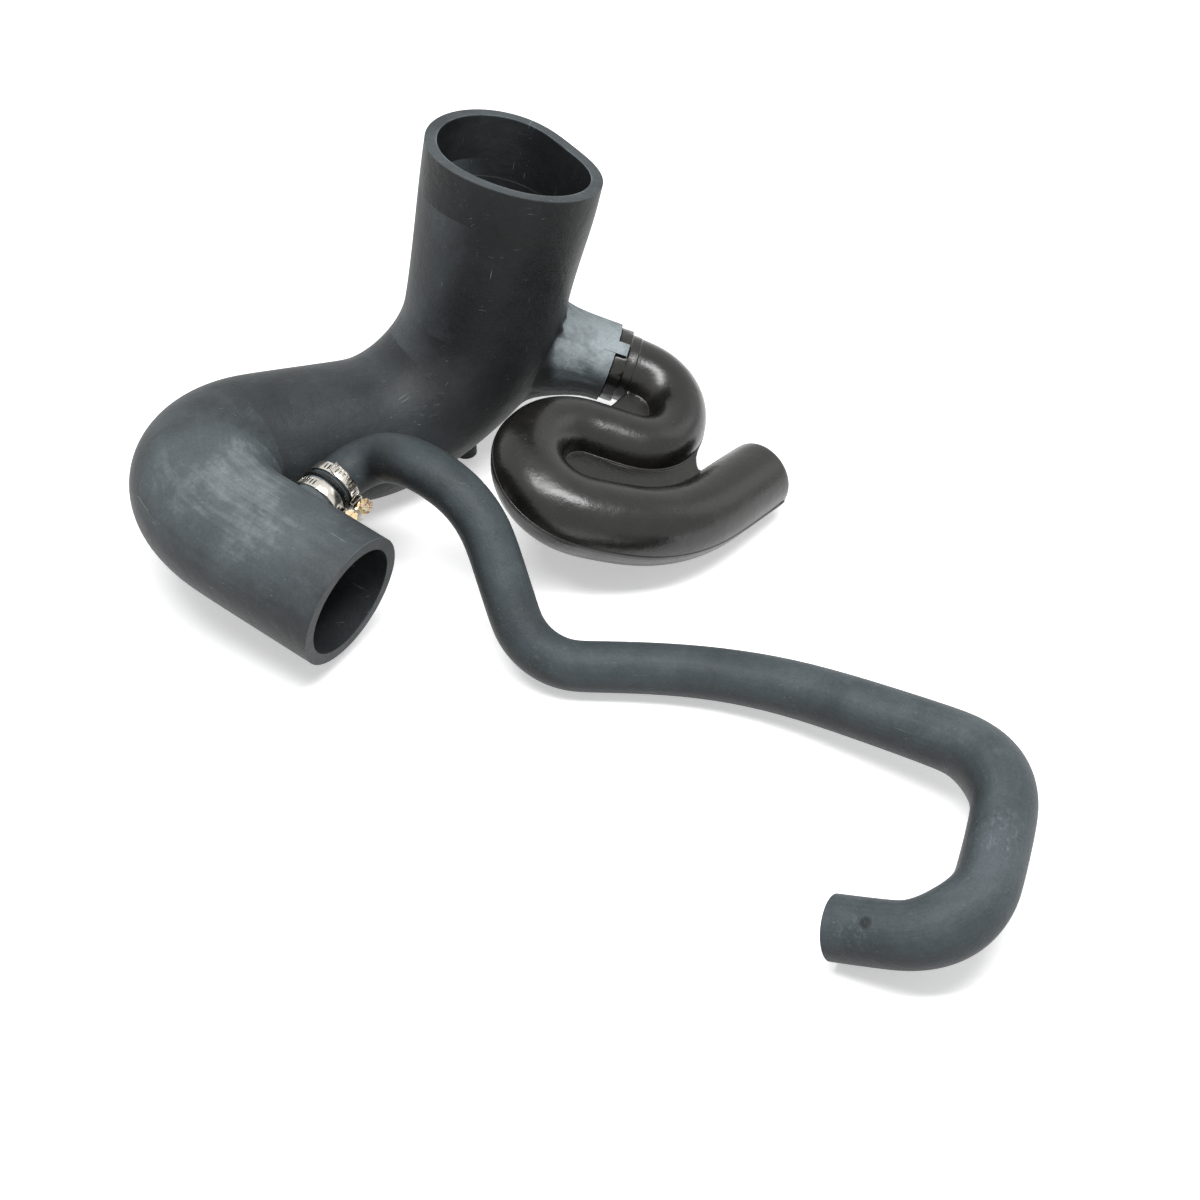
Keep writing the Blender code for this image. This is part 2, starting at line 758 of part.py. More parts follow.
def web_solid(name, stations, thickness, inner_side):
    """Flat web of pinched plastic that fills the inside of a U-turn. Its outline runs inside
    the pipe, half way from the centre line to the inner side, which is 1 or -1."""
    half = PIPE_PLANE_NORMAL * thickness / 2
    line = [s.centre + s.side * (inner_side * s.half_in / 2) for s in stations]
    bm = bmesh.new()
    loft(bm, [[point - half for point in line], [point + half for point in line]], True)
    return link(name, bm, None)


def end_cap_rings(last, sides, wall):
    """Rings that close the pipe's far end with a rounded edge."""
    rings = []
    edge = max(END_EDGE_RADIUS - wall, 0.001)
    for degrees in (30, 60, 90):
        t = radians(degrees)
        shrink = edge * (1 - cos(t))
        reach = last.half_in - wall - shrink
        out = edge * sin(t)
        cap = Station(
            last.centre + last.forward * (out - wall * (wall > 0)),
            last.forward,
            last.side,
            last.inward,
            reach,
            reach,
        )
        rings.append(cap.ring(sides, 0))
    return rings


def make_resonator(finish):
    stations, webs = resonator_stations()
    bm = bmesh.new()
    rings = [s.ring(PIPE_SIDES, 0) for s in stations]
    rings += end_cap_rings(stations[-1], PIPE_SIDES, 0)
    loft(bm, rings, True)
    pipe = link("resonator_pipe", bm, finish)

    # parting rib: a flat ribbon along the same centre line
    bm = bmesh.new()
    normal = PIPE_PLANE_NORMAL * RIB_THICKNESS / 2
    ribbon = []
    for s in stations[1:]:
        reach = s.side * (s.half_in + RIB_REACH)
        near, far = s.centre + reach, s.centre - reach
        ribbon.append([near + normal, far + normal, far - normal, near - normal])
    loft(bm, ribbon, True)
    rib = link("pipe_rib", bm, None)
    combine(pipe, rib, "UNION")
    combine(pipe, web_solid("first_web", webs[0], WEB_THICKNESS, 1), "UNION")
    combine(pipe, web_solid("second_web", webs[1], SECOND_WEB_THICKNESS, -1), "UNION")

    # neck that plugs into the stub, and the flange on its shoulder
    axis = STUB_DIRECTION
    bore_radius = STUB_RADIUS - STUB_WALL - CLEARANCE
    neck_start = stub_end() - axis * NECK_PIPE_LENGTH
    run_end = NECK_PIPE_LENGTH + FLANGE_THICKNESS + RUN_ONE_LENGTH
    neck_length = run_end - RUN_ONE_LENGTH / 2
    neck = tube_solid("pipe_neck", axis, neck_start, neck_length, bore_radius)
    combine(pipe, neck, "UNION")
    flange_start = stub_end() + axis * CLEARANCE
    flange = tube_solid("pipe_flange", axis, flange_start, FLANGE_THICKNESS, FLANGE_RADIUS)
    gap = 4 * CLEARANCE
    size = Vector((KEY_WIDTH + gap, KEY_HEIGHT + gap, 2 * (KEY_LENGTH + gap)))
    keyway = block_solid("keyway", key_place(), size)
    combine(flange, keyway, "DIFFERENCE")
    combine(pipe, flange, "UNION")

    # hollow inside, open at the neck
    bm = bmesh.new()
    inner = [s.ring(PIPE_BORE_SIDES, PIPE_WALL) for s in stations[1:]]
    inner += end_cap_rings(stations[-1], PIPE_BORE_SIDES, PIPE_WALL)
    loft(bm, inner, True)
    hollow = link("pipe_hollow", bm, None)
    combine(pipe, hollow, "DIFFERENCE")
    neck_bore = bore_radius - PIPE_WALL
    cut_start = neck_start - axis * OVERSHOOT
    cut_length = run_end + 2 * OVERSHOOT
    cut = tube_solid("neck_bore", axis, cut_start, cut_length, neck_bore)
    combine(pipe, cut, "DIFFERENCE")
    return pipe


def rest_on_floor():
    """Move everything so that the origin is on the floor under the middle of the box."""
    graph = bpy.context.evaluated_depsgraph_get()
    points = []
    for obj in bpy.context.scene.objects:
        if obj.hide_render:
            continue
        shape = obj.evaluated_get(graph)
        points += [shape.matrix_world @ v.co for v in shape.data.vertices]
    low = Vector([min(p[k] for p in points) for k in range(3)])
    high = Vector([max(p[k] for p in points) for k in range(3)])
    middle = (low + high) / 2
    shift = Matrix.Translation(Vector((-middle.x, -middle.y, -low.z)))
    for obj in bpy.context.scene.objects:
        obj.matrix_world = shift @ obj.matrix_world


def main():
    clear_scene()
    rubber = surface("epdm_rubber", (0.030, 0.034, 0.037), 0.62)
    hose_rubber = surface("hose_rubber", (0.035, 0.041, 0.047), 0.70)
    blown = surface("blow_moulded_plastic", (0.016, 0.016, 0.015), 0.32)
    collar = surface("joiner_plastic", (0.018, 0.018, 0.019), 0.45)
    steel = surface("band_steel", (0.62, 0.61, 0.58), 0.28, 1.0)
    plate = surface("housing_steel", (0.58, 0.56, 0.52), 0.32, 1.0)
    zinc = surface("yellow_zinc_screw", (0.72, 0.56, 0.26), 0.30, 1.0)
    make_duct(rubber)
    make_resonator(blown)
    make_joiner(collar)
    make_hose(hose_rubber)
    make_clamp("duct_clamp", -BAND_OFFSET, DUCT_CLAMP_TURN, steel, plate, zinc)
    make_clamp("hose_clamp", BAND_OFFSET, 0.0, steel, plate, zinc)
    rest_on_floor()


main()
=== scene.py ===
"""Looks of the engine intake hose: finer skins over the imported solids, real slots in
the clamp bands, procedural rubber, plastic and metal, and a plain studio. Metres, +Z up."""

from math import atan2, cos, degrees, pi, radians, sin, tan

import bmesh
import bpy
from mathutils import Matrix, Vector


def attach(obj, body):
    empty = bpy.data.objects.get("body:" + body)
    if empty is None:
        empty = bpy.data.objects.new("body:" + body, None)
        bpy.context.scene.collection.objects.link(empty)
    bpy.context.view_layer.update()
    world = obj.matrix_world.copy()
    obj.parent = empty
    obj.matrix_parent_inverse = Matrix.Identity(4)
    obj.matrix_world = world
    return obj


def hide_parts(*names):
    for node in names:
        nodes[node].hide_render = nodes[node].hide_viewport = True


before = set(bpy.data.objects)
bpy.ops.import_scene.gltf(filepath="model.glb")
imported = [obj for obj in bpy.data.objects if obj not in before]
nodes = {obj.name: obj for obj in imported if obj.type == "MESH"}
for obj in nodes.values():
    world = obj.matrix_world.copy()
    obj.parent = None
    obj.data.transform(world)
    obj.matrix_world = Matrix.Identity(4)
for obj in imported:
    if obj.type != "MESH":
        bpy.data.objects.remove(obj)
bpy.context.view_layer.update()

MM = 0.001

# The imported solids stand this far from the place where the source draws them
SHIFT = Vector((0.023517, 0.033378, 0.000067))

# Skins: corners this near are one, and edges that turn more than this stay sharp
WELD = 0.01 * MM
SHARP_EDGE = radians(38.0)
SKIN_LEVELS = 2
WRAP_RADIUS = 40 * MM

# Centre line of the duct: outlet mouth, elbow, body, heel, neck and top mouth
DUCT_ROUTE = (
    Vector((-0.1221, -0.0226, 0.0543)),
    Vector((-0.1891, 0.0209, 0.0672)),
    Vector((-0.2084, 0.0402, 0.0705)),
    Vector((-0.2153, 0.0680, 0.0704)),
    Vector((-0.2042, 0.0945, 0.0661)),
    Vector((-0.1627, 0.1223, 0.0546)),
    Vector((-0.1120, 0.1519, 0.0467)),
    Vector((-0.0796, 0.1714, 0.0616)),
    Vector((-0.0542, 0.1872, 0.0916)),
    Vector((-0.0416, 0.1964, 0.1497)),
    Vector((-0.0326, 0.2032, 0.1978)),
    Vector((-0.0301, 0.2050, 0.2108)),
)
TOP_MOUTH = Vector((-0.0289, 0.1551, 0.2176))
TOP_AXIS = Vector((0.183, 0.137, 0.973)).normalized()
OUTLET_MOUTH = Vector((-0.1002, 0.0084, 0.0635))
OUTLET_AXIS = Vector((0.828, -0.538, -0.160)).normalized()
OUTLET_REACH = 50 * MM

# How far the skin has bloomed at each length along the duct, from the outlet to the top. The high
# values from about 0.03 to 0.12 m are partly painted highlight, where the tops of the outlet tube
# and elbow catch the overhead light
DUCT_BLOOM_AND_HIGHLIGHT = (
    (0.000, 0.54),
    (0.030, 0.64),
    (0.068, 0.74),
    (0.080, 0.72),
    (0.120, 0.72),
    (0.150, 0.52),
    (0.180, 0.40),
    (0.270, 0.42),
    (0.330, 0.28),
    (0.380, 0.16),
    (0.440, 0.12),
)
BORE_BLOOM = 0.36

# The left of the neck has bloomed more, up to a witness line under the top mouth
NECK_LEFT = ((0.280, 0.20), (0.330, 0.90), (0.460, 1.00))
NECK_LEFT_BLOOM = 0.42
NECK_WITNESS = -29 * MM
WITNESS_HALF = 0.4 * MM

# Side the light falls from: faces turned to it get painted highlight, faces turned away get painted
# shade. Bloom also lies on the cut faces of both mouths
PAINTED_LIGHT_SIDE = Vector((0.35, -0.25, 0.90))
RIM_BAND = 0.8 * MM
TOP_RIM_BLOOM = 0.40
OUTLET_RIM_BLOOM = 0.15

# Side stub of the duct, where the resonator plugs in
STUB_END = Vector((0.0295, 0.1861, 0.0655))
STUB_AXIS = Vector((0.943, -0.150, -0.300)).normalized()
STUB_RADIUS = 26 * MM
STUB_WITNESS = -66 * MM
STUB_FADE = 1.5 * MM
STUB_BLOOM = 0.70

# Middle plane of the resonator, where the two halves of its mould met
PIPE_PLANE_POINT = Vector((0.0372, 0.1849, 0.0630))
PIPE_PLANE_NORMAL = Vector((0.360, -0.127, 1.0)).normalized()
RIB_HALF = 1.5 * MM
RIB_DROP = 0.9 * MM

# Clamped joint, where two worm clamps hold both rubbers on a hidden joiner
JOINT_CENTRE = Vector((-0.1661, 0.0226, 0.0686)) + SHIFT
JOINT_AXIS = Vector((0.55, 0.829, 0.09)).normalized()
SCREW_DIRECTION = Vector((0.375, -0.426, 0.827))
HOSE_RADIUS = 15.6 * MM
CLEARANCE = 0.3 * MM
BAND_WIDTH = 6.8 * MM
BAND_THICKNESS = 0.8 * MM
BAND_OFFSET = 7.3 * MM
BAND_EDGE = 0.12 * MM
SLOT_PITCH = 2.3 * MM
SLOT_MARGIN = 1.3 * MM
SLOT_EDGE = 0.12 * MM

# Degrees round a clamp from its worm, for the strip's start, its lap and its free tail
BAND_START = -40.0
FULL_TURN = 360.0
LAP_RUN = 12.0
TAIL_START = 8.0
DUCT_CLAMP_TURN = 8.0

# Centre line of the small hose as corners with the radius of each bend
HOSE_CORNERS = (
    (JOINT_CENTRE, 0),
    (JOINT_CENTRE + JOINT_AXIS * 0.0392, 0.0239),
    (Vector((-0.1120, 0.0253, 0.0917)) + SHIFT, 0.036),
    (Vector((-0.0721, 0.0000, 0.0831)) + SHIFT, 0.078),
    (Vector((-0.0414, -0.0724, 0.0168)) + SHIFT, 0.043),
    (Vector((0.0830, -0.0738, 0.0169)) + SHIFT, 0.213),
    (Vector((0.2299, -0.1691, 0.0427)) + SHIFT, 0.057),
    (Vector((0.1908, -0.2925, 0.0423)) + SHIFT, 0.041),
    (Vector((0.1236, -0.2626, 0.0176)) + SHIFT, 0),
)
ARC_STEP = 12.0

# Bloom along the small hose, the places where it is rubbed, and a dimple at its end whose hollow is
# painted dark as painted shade
HOSE_BLOOM = ((0.000, 0.44), (0.150, 0.48), (0.300, 0.48), (0.480, 0.60), (0.700, 0.60))
HOSE_RUBS = (
    (Vector((-0.0115, -0.0470, 0.0307)), 12 * MM),
    (Vector((0.2346, -0.1995, 0.0624)), 24 * MM),
    (Vector((0.1552, -0.2470, 0.0370)), 14 * MM),
)
HOSE_DIMPLE = Vector((0.1603, -0.2435, 0.0418))
DIMPLE_REACH = 4.5 * MM
DIMPLE_SHADE = -0.35

# Tones of the rubbers from clean to fully bloomed
DUCT_TONES = (
    (0.00, "#131415"),
    (0.20, "#202223"),
    (0.45, "#34383a"),
    (0.70, "#50575a"),
    (1.00, "#929b9e"),
)
HOSE_TONES = (
    (0.00, "#16191a"),
    (0.25, "#25292b"),
    (0.50, "#3d4447"),
    (0.75, "#586064"),
    (1.00, "#8b9496"),
)

# Studio
SUBJECT = Vector((0.02, 0.04, 0.06))
FLOOR_SIZE = 12.0
FLOOR_DROP = 0.5 * MM
FLOOR_GLOW = 0.45
FILL_LIGHT = 0.36
CAMERA_PLACE = (0.0235, -0.9156, 0.9489)
CAMERA_PITCH = 45.0
CAMERA_ANGLE = 31.0


def choose(piece):
    """Select only this piece and make it active."""
    bpy.ops.object.select_all(action="DESELECT")
    piece.select_set(True)
    bpy.context.view_layer.objects.active = piece


def apply_modifier(piece, kind, **settings):
    """Add a modifier with these settings and apply it."""
    choose(piece)
    modifier = piece.modifiers.new(kind.lower(), kind)
    for name, value in settings.items():
        setattr(modifier, name, value)
    bpy.ops.object.modifier_apply(modifier=modifier.name)


def colour(code):
    """An sRGB hex colour as linear values with alpha."""
    channels = [int(code[k : k + 2], 16) / 255 for k in (1, 3, 5)]
    linear = [c / 12.92 if c <= 0.04045 else ((c + 0.055) / 1.055) ** 2.4 for c in channels]
    return (*linear, 1.0)


def add_node(tree, kind, sockets=None, result=0, stops=(), **options):
    """Add a node, set its options and the (position, hex) stops of its colour ramp, and
    set or link its sockets. Gives one of its outputs, if it has any."""
    node = tree.nodes.new("ShaderNode" + kind)
    for name, value in options.items():
        setattr(node, name, value)
    for socket, value in (sockets or {}).items():
        if isinstance(value, bpy.types.NodeSocket):
            tree.links.new(value, node.inputs[socket])
        else:
            node.inputs[socket].default_value = value
    if stops:
        elements = node.color_ramp.elements
        while len(elements) < len(stops):
            elements.new(0.5)
        for element, (position, tone) in zip(elements, stops):
            element.position = position
            element.color = colour(tone)
    return node.outputs[result] if node.outputs else None


def new_material(name):
    """A material with an empty node tree, its tree, and its Object coordinates."""
    material = bpy.data.materials.new(name)
    material.use_nodes = True
    tree = material.node_tree
    tree.nodes.clear()
    return material, tree, add_node(tree, "TexCoord", result="Object")


def soft_edge(tree, value, low, high, ends=(0.0, 1.0)):
    """How far a value lies past an edge: the first end under low, the second above high."""
    span = {"Value": value, "From Min": low, "From Max": high}
    span.update({"To Min": ends[0], "To Max": ends[1]})
    return add_node(tree, "MapRange", span, interpolation_type="SMOOTHSTEP")


def patches(tree, place, size, low, high, ends=(0.0, 1.0), stretch=(1, 1, 1), turn=(0, 0, 0),
            **more):
    """Noise with features of a size in metres. Where it is under low it gives the first
    end, and above high the second."""
    scale = tuple(s / size for s in stretch)
    spot = add_node(tree, "Mapping", {"Vector": place, "Rotation": turn, "Scale": scale})
    sockets = {"Vector": spot, "Scale": 1.0, "Detail": 4.0, "Roughness": 0.58, **more}
    cloud = add_node(tree, "TexNoise", sockets)
    return soft_edge(tree, cloud, low, high, ends)


def covered(tree, *covers):
    """How much of the skin is covered where all these covers lie over each other."""
    cover = covers[0]
    for other in covers[1:]:
        cover = add_node(tree, "Math", {0: cover, 1: other}, operation="MULTIPLY")
    return cover


def scuffs(tree, place, size, turn):
    """Short, straight, thin scuffs that lie one way, in scattered groups."""
    lines = patches(tree, place, size, 0.66, 0.72, stretch=(0.05, 1, 1), turn=turn, Detail=2.0)
    groups = patches(tree, place, size * 12, 0.52, 0.62)
    return covered(tree, lines, groups)


def about_axis(tree, place, point, axis):
    """The run along an axis from a point, and the reach out from it, in metres."""
    off = add_node(tree, "VectorMath", {0: place, 1: point}, operation="SUBTRACT")
    run = add_node(tree, "VectorMath", {0: off, 1: axis}, "Value", operation="DOT_PRODUCT")
    across = add_node(tree, "VectorMath", {0: off, 1: axis}, operation="CROSS_PRODUCT")
    reach = add_node(tree, "VectorMath", {0: across}, "Value", operation="LENGTH")
    return run, reach


def near(tree, place, point, reach):
    """1 at a point, falling softly to 0 at a reach in metres."""
    gap = add_node(tree, "VectorMath", {0: place, 1: point}, "Value", operation="DISTANCE")
    return soft_edge(tree, gap, reach * 0.35, reach, (1.0, 0.0))


def facing_painted_light(tree):
    """1 where a surface faces the side the light falls from, -1 where it faces away; it sets the
    painted highlight and painted shade of the rubber.
    """
    normal = add_node(tree, "NewGeometry", result="Normal")
    return add_node(
        tree, "VectorMath", {0: normal, 1: PAINTED_LIGHT_SIDE}, "Value", operation="DOT_PRODUCT"
    )


def duct_bloom_and_painted_light(tree, place):
    """Bloom that ends at edges of the mould: the left of the neck under its witness line, the whole
    stub, and the cut faces of both mouths. On the stub it also carries painted highlight on faces
    turned up and painted shade on faces turned away."""
    down = about_axis(tree, place, TOP_MOUTH, TOP_AXIS)[0]
    left = add_node(tree, "Attribute", result="Fac", attribute_name="left")
    witness = (NECK_WITNESS - WITNESS_HALF, NECK_WITNESS + WITNESS_HALF)
    under = soft_edge(tree, down, *witness, (NECK_LEFT_BLOOM, 0.0))
    run, reach = about_axis(tree, place, STUB_END, STUB_AXIS)
    stub_bloom_and_painted_light = covered(
        tree,
        soft_edge(tree, run, STUB_WITNESS - STUB_FADE, STUB_WITNESS + STUB_FADE),
        soft_edge(tree, reach, STUB_RADIUS * 1.22, STUB_RADIUS * 1.32, (STUB_BLOOM, 0.0)),
        # The stub is painted lighter on faces turned up and darker on faces turned away: painted
        # highlight and painted shade.
        soft_edge(tree, facing_painted_light(tree), 0.0, 0.95, (0.45, 1.15)),
        patches(tree, place, 9 * MM, 0.30, 0.70, (0.84, 1.06), Detail=6.0),
    )
    top_rim = soft_edge(tree, down, -RIM_BAND, -RIM_BAND / 2, (0.0, TOP_RIM_BLOOM))
    out, wide = about_axis(tree, place, OUTLET_MOUTH, OUTLET_AXIS)
    outlet_rim = soft_edge(tree, out, -RIM_BAND, -RIM_BAND / 2, (0.0, OUTLET_RIM_BLOOM))
    at_outlet = soft_edge(tree, wide, OUTLET_REACH, OUTLET_REACH * 1.2, (1.0, 0.0))
    return covered(tree, left, under), stub_bloom_and_painted_light, top_rim, covered(tree, outlet_rim, at_outlet)


def hose_rubs_and_painted_shade(tree, place):
    """Rubbed places of the small hose, and painted shade in the dimple near its free end."""
    rubbed = [
        covered(
            tree,
            near(tree, place, point, reach),
            patches(tree, place, 2.2 * MM, 0.50, 0.66, (0.0, 0.14), stretch=(1, 0.5, 1)),
        )
        for point, reach in HOSE_RUBS
    ]
    # Painted shade: the dimple's hollow is painted darker.
    dimple = covered(tree, near(tree, place, HOSE_DIMPLE, DIMPLE_REACH), DIMPLE_SHADE)
    return (*rubbed, dimple)


def bloomed_rubber(name, tones, extra_bloom_and_painted_light):
    """Moulded black EPDM: wax and talc bloom out on the skin, more in some places than in others,
    in clouds and brushed streaks, with thin scuffs. Over the bloom, faces turned to the light are
    painted lighter and faces turned away darker: painted highlight and painted shade. It shows only
    weak, broad highlights."""
    material, tree, place = new_material(name)
    wrap = add_node(tree, "UVMap", uv_map="wrap")
    bloom = add_node(tree, "Attribute", result="Fac", attribute_name="bloom")
    # Bloom is cut to 0.30 on faces turned away from the light: painted shade, with painted
    # highlight on faces turned up.
    bloom_and_painted_light = covered(tree, bloom, soft_edge(tree, facing_painted_light(tree), -0.25, 0.85, (0.30, 1.0)))
    brushed = patches(tree, wrap, 10 * MM, 0.34, 0.76, (-0.06, 0.06), stretch=(0.05, 2.0, 1))
    layers = (
        patches(tree, place, 45 * MM, 0.30, 0.70, (-0.07, 0.07), Distortion=0.4),
        patches(tree, place, 6 * MM, 0.34, 0.72, (-0.02, 0.02), Distortion=0.6),
        covered(tree, brushed, bloom, bloom),
        *extra_bloom_and_painted_light(tree, place),
    )
    for layer in layers:
        bloom_and_painted_light = add_node(tree, "Math", {0: bloom_and_painted_light, 1: layer}, operation="ADD")
    bloom_and_painted_light = add_node(tree, "Clamp", {"Value": bloom_and_painted_light})
    skin = add_node(tree, "ValToRGB", {"Fac": bloom_and_painted_light}, stops=tones)
    grain = covered(tree, patches(tree, place, 1.4 * MM, 0.35, 0.70), 0.16)
    long_scuffs = covered(tree, scuffs(tree, wrap, 1.4 * MM, (0, 0, 0.2)), 0.30)
    cross_scuffs = covered(tree, scuffs(tree, place, 1.1 * MM, (0.5, 0.9, 1.1)), 0.25)
    all_scuffs = add_node(
        tree, "Math", {0: long_scuffs, 1: cross_scuffs}, operation="ADD", use_clamp=True
    )
    for cover, tone in ((grain, "#0c0d0d"), (all_scuffs, "#98a09f")):
        coat = {"Factor": cover, 6: skin, 7: colour(tone)}
        skin = add_node(tree, "Mix", coat, 2, data_type="RGBA")
    tooth = patches(tree, place, 1.0 * MM, 0.3, 0.7)
    swell = patches(tree, place, 16 * MM, 0.3, 0.7)
    fine = add_node(tree, "Bump", {"Height": tooth, "Distance": 0.04 * MM, "Strength": 1.0})
    relief = {"Height": swell, "Distance": 0.30 * MM, "Strength": 1.0, "Normal": fine}
    surface = {
        "Base Color": skin,
        "Roughness": add_node(tree, "MapRange", {"Value": bloom_and_painted_light, "To Min": 0.44, "To Max": 0.66}),
        "Normal": add_node(tree, "Bump", relief),
        "Specular IOR Level": 0.22,
    }
    add_node(tree, "OutputMaterial", {"Surface": add_node(tree, "BsdfPrincipled", surface)})
    return material


def blown_polyamide():
    """Blow-moulded black polyamide: shiny, with a faint orange peel, a handled haze and
    fine dust that breaks the highlights up."""
    material, tree, place = new_material("blow_moulded_polyamide")
    haze = patches(tree, place, 30 * MM, 0.35, 0.70)
    dust = patches(tree, place, 0.9 * MM, 0.62, 0.72, Detail=5.0)
    settled = patches(tree, place, 20 * MM, 0.40, 0.62, (0.08, 0.40))
    skin = add_node(tree, "ValToRGB", {"Fac": haze}, stops=((0.0, "#0d0d0b"), (1.0, "#171613")))
    coat = {"Factor": covered(tree, dust, settled), 6: skin, 7: colour("#77756e")}
    peel = patches(tree, place, 2.4 * MM, 0.3, 0.7)
    swell = patches(tree, place, 12 * MM, 0.3, 0.7)
    fine = add_node(tree, "Bump", {"Height": peel, "Distance": 0.02 * MM, "Strength": 1.0})
    relief = {"Height": swell, "Distance": 0.12 * MM, "Strength": 1.0, "Normal": fine}
    surface = {
        "Base Color": add_node(tree, "Mix", coat, 2, data_type="RGBA"),
        "Roughness": add_node(tree, "MapRange", {"Value": haze, "To Min": 0.24, "To Max": 0.34}),
        "Normal": add_node(tree, "Bump", relief),
        "Specular IOR Level": 0.55,
    }
    add_node(tree, "OutputMaterial", {"Surface": add_node(tree, "BsdfPrincipled", surface)})
    return material


def joiner_polyamide():
    """Injection-moulded black polyamide with a smooth shiny skin."""
    material, tree, place = new_material("moulded_polyamide")
    fine = patches(tree, place, 1.2 * MM, 0.3, 0.7)
    stops = ((0.0, "#0d0d0e"), (1.0, "#1a1a1b"))
    relief = {"Height": fine, "Distance": 0.02 * MM, "Strength": 1.0}
    surface = {
        "Base Color": add_node(tree, "ValToRGB", {"Fac": fine}, stops=stops),
        "Roughness": add_node(tree, "MapRange", {"Value": fine, "To Min": 0.16, "To Max": 0.28}),
        "Normal": add_node(tree, "Bump", relief),
    }
    add_node(tree, "OutputMaterial", {"Surface": add_node(tree, "BsdfPrincipled", surface)})
    return material


def stainless(name, bright, dull, smoothest, roughest):
    """Rolled stainless: bright and nearly flat, with faint haze and hair-fine rolling
    lines that only soften what it mirrors."""
    material, tree, place = new_material(name)
    haze = patches(tree, place, 6 * MM, 0.40, 0.75)
    lines = patches(tree, place, 0.5 * MM, 0.3, 0.7, Detail=2.0)
    rough = {"Value": lines, "To Min": smoothest, "To Max": roughest}
    surface = {
        "Base Color": add_node(tree, "ValToRGB", {"Fac": haze}, stops=((0.0, bright), (1.0, dull))),
        "Metallic": 1.0,
        "Roughness": add_node(tree, "MapRange", rough),
    }
    add_node(tree, "OutputMaterial", {"Surface": add_node(tree, "BsdfPrincipled", surface)})
    return material


def yellow_zinc():
    """Zinc plating with yellow passivation: pale gold that drifts to pink and green."""
    material, tree, place = new_material("yellow_passivated_zinc")
    drift = patches(tree, place, 6 * MM, 0.25, 0.75, Detail=1.0)
    fine = patches(tree, place, 1.2 * MM, 0.3, 0.7)
    stops = ((0.15, "#d6bd90"), (0.50, "#dcc0a8"), (0.90, "#d3c8a8"))
    surface = {
        "Base Color": add_node(tree, "ValToRGB", {"Fac": drift}, stops=stops),
        "Metallic": 1.0,
        "Roughness": add_node(tree, "MapRange", {"Value": fine, "To Min": 0.20, "To Max": 0.30}),
    }
    add_node(tree, "OutputMaterial", {"Surface": add_node(tree, "BsdfPrincipled", surface)})
    return material


def dress(piece, material):
    """Give the whole piece one material."""
    piece.data.materials.clear()
    piece.data.materials.append(material)
    for face in piece.data.polygons:
        face.material_index = 0


def seat(piece, node, material):
    """Let a piece stand for one frame node, with its material and slot."""
    dress(piece, material)
    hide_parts(node)
    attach(piece, "root")


def welded_copy(node, name):
    """A copy of a frame node with its corners welded and its triangles joined back."""
    piece = bpy.data.objects.new(name, nodes[node].data.copy())
    bpy.context.scene.collection.objects.link(piece)
    choose(piece)
    bpy.ops.object.mode_set(mode="EDIT")
    bpy.ops.mesh.select_all(action="SELECT")
    bpy.ops.mesh.remove_doubles(threshold=WELD)
    bpy.ops.mesh.tris_convert_to_quads(
        face_threshold=radians(25), shape_threshold=radians(60)
    )
    bpy.ops.object.mode_set(mode="OBJECT")
    if piece.data.has_custom_normals:
        bpy.ops.mesh.customdata_custom_splitnormals_clear()
    return piece


def lower_rib(piece):
    """Leave only a faint parting line of the resonator's rib, as on the real moulding."""
    bm = bmesh.new()
    bm.from_mesh(piece.data)
    pushes = {}
    for face in bm.faces:
        heights = [(v.co - PIPE_PLANE_POINT).dot(PIPE_PLANE_NORMAL) for v in face.verts]
        spans = max(heights) > RIB_HALF * 0.9 and min(heights) < -RIB_HALF * 0.9
        flat = max(heights) < RIB_HALF * 1.1 and min(heights) > -RIB_HALF * 1.1
        if spans and flat and abs(face.normal.dot(PIPE_PLANE_NORMAL)) < 0.1:
            for vertex in face.verts:
                pushes.setdefault(vertex, Vector())
                pushes[vertex] += face.normal
    for vertex, push in pushes.items():
        if push.length > 0:
            vertex.co -= push.normalized() * RIB_DROP
    bm.to_mesh(piece.data)
    bm.free()


def at_stub_root(spot):
    """True near the corner where the stub grows out of the duct, which is rounded."""
    off = spot - STUB_END
    run = off.dot(STUB_AXIS)
    reach = (off - STUB_AXIS * run).length
    return run < -0.6 * STUB_RADIUS and 0.9 * STUB_RADIUS < reach < 1.5 * STUB_RADIUS


def round_skin(piece, rounded=None):
    """Turn a faceted copy into a smooth skin that keeps its sharp edges, apart from those
    at a spot that is rounded."""
    bm = bmesh.new()
    bm.from_mesh(piece.data)
    crease = bm.edges.layers.float.get("crease_edge") or bm.edges.layers.float.new("crease_edge")
    for edge in bm.edges:
        middle = (edge.verts[0].co + edge.verts[1].co) / 2
        turns = len(edge.link_faces) == 2 and edge.calc_face_angle(0) > SHARP_EDGE
        if turns and not (rounded and rounded(middle)):
            edge[crease] = 1.0
    bm.to_mesh(piece.data)
    bm.free()
    apply_modifier(piece, "SUBSURF", levels=SKIN_LEVELS, render_levels=SKIN_LEVELS)
    choose(piece)
    bpy.ops.object.shade_smooth_by_angle(angle=SHARP_EDGE)


